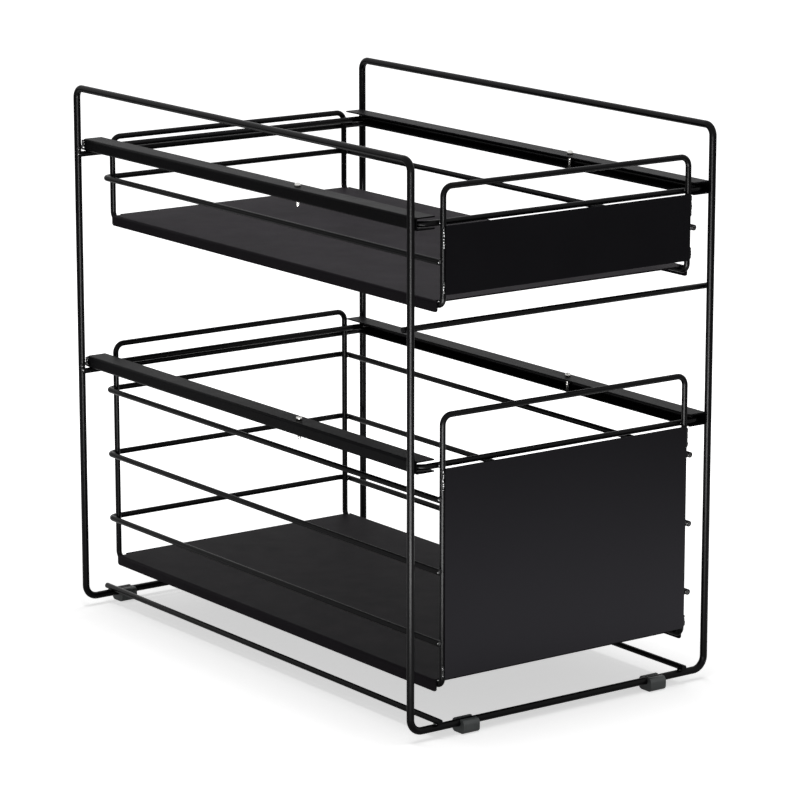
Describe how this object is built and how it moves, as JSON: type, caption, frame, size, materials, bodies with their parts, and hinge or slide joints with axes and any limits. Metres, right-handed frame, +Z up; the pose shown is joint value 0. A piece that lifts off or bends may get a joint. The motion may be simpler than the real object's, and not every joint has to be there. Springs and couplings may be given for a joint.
{
  "type": "pull-out cabinet basket",
  "caption": "Free-standing wire rack for a kitchen cabinet with tiered pull-out baskets: sheet trays, plain front panels and hoop handles that slide in folded rails.",
  "frame": {"origin": "centre of the footprint, on the surface the feet stand on", "axes": "+X to the right seen from the front, -Y towards the front panels, +Z up"},
  "size_m": [0.254, 0.4134, 0.3833],
  "materials": {
    "coated_wire": "satin black powder coat on steel wire",
    "coated_sheet": "satin black powder coat on steel sheet",
    "screws": "bright nickel plate",
    "feet": "dark grey soft plastic"
  },
  "bodies": {
    "frame": {"frame_wire": "coated_wire", "base_runner_left": "coated_wire", "base_runner_right": "coated_wire", "front_mid_bar": "coated_wire", "rear_bar_lower": "coated_wire", "rear_bar_upper": "coated_wire", "rail_lower_left": "coated_sheet", "rail_lower_right": "coated_sheet", "rail_upper_left": "coated_sheet", "rail_upper_right": "coated_sheet", "stop_screws": "screws", "foot_front_left": "feet", "foot_front_right": "feet", "foot_back_left": "feet", "foot_back_right": "feet"},
    "lower_basket": {"lower_basket_frame": "coated_wire", "lower_rim_wire": "coated_wire", "lower_side_wire_top": "coated_wire", "lower_side_wire_middle": "coated_wire", "lower_side_wire_low": "coated_wire", "lower_tray": "coated_sheet", "lower_front_panel": "coated_sheet"},
    "upper_basket": {"upper_basket_frame": "coated_wire", "upper_rim_wire": "coated_wire", "upper_side_wire": "coated_wire", "upper_tray": "coated_sheet", "upper_front_panel": "coated_sheet"}
  },
  "joints": [
    {"name": "lower_basket_slide", "type": "slide", "parent": "frame", "child": "lower_basket", "axis": [0, -1, 0], "range_m": [0, 0.24]},
    {"name": "upper_basket_slide", "type": "slide", "parent": "frame", "child": "upper_basket", "axis": [0, -1, 0], "range_m": [0, 0.24]}
  ]
}
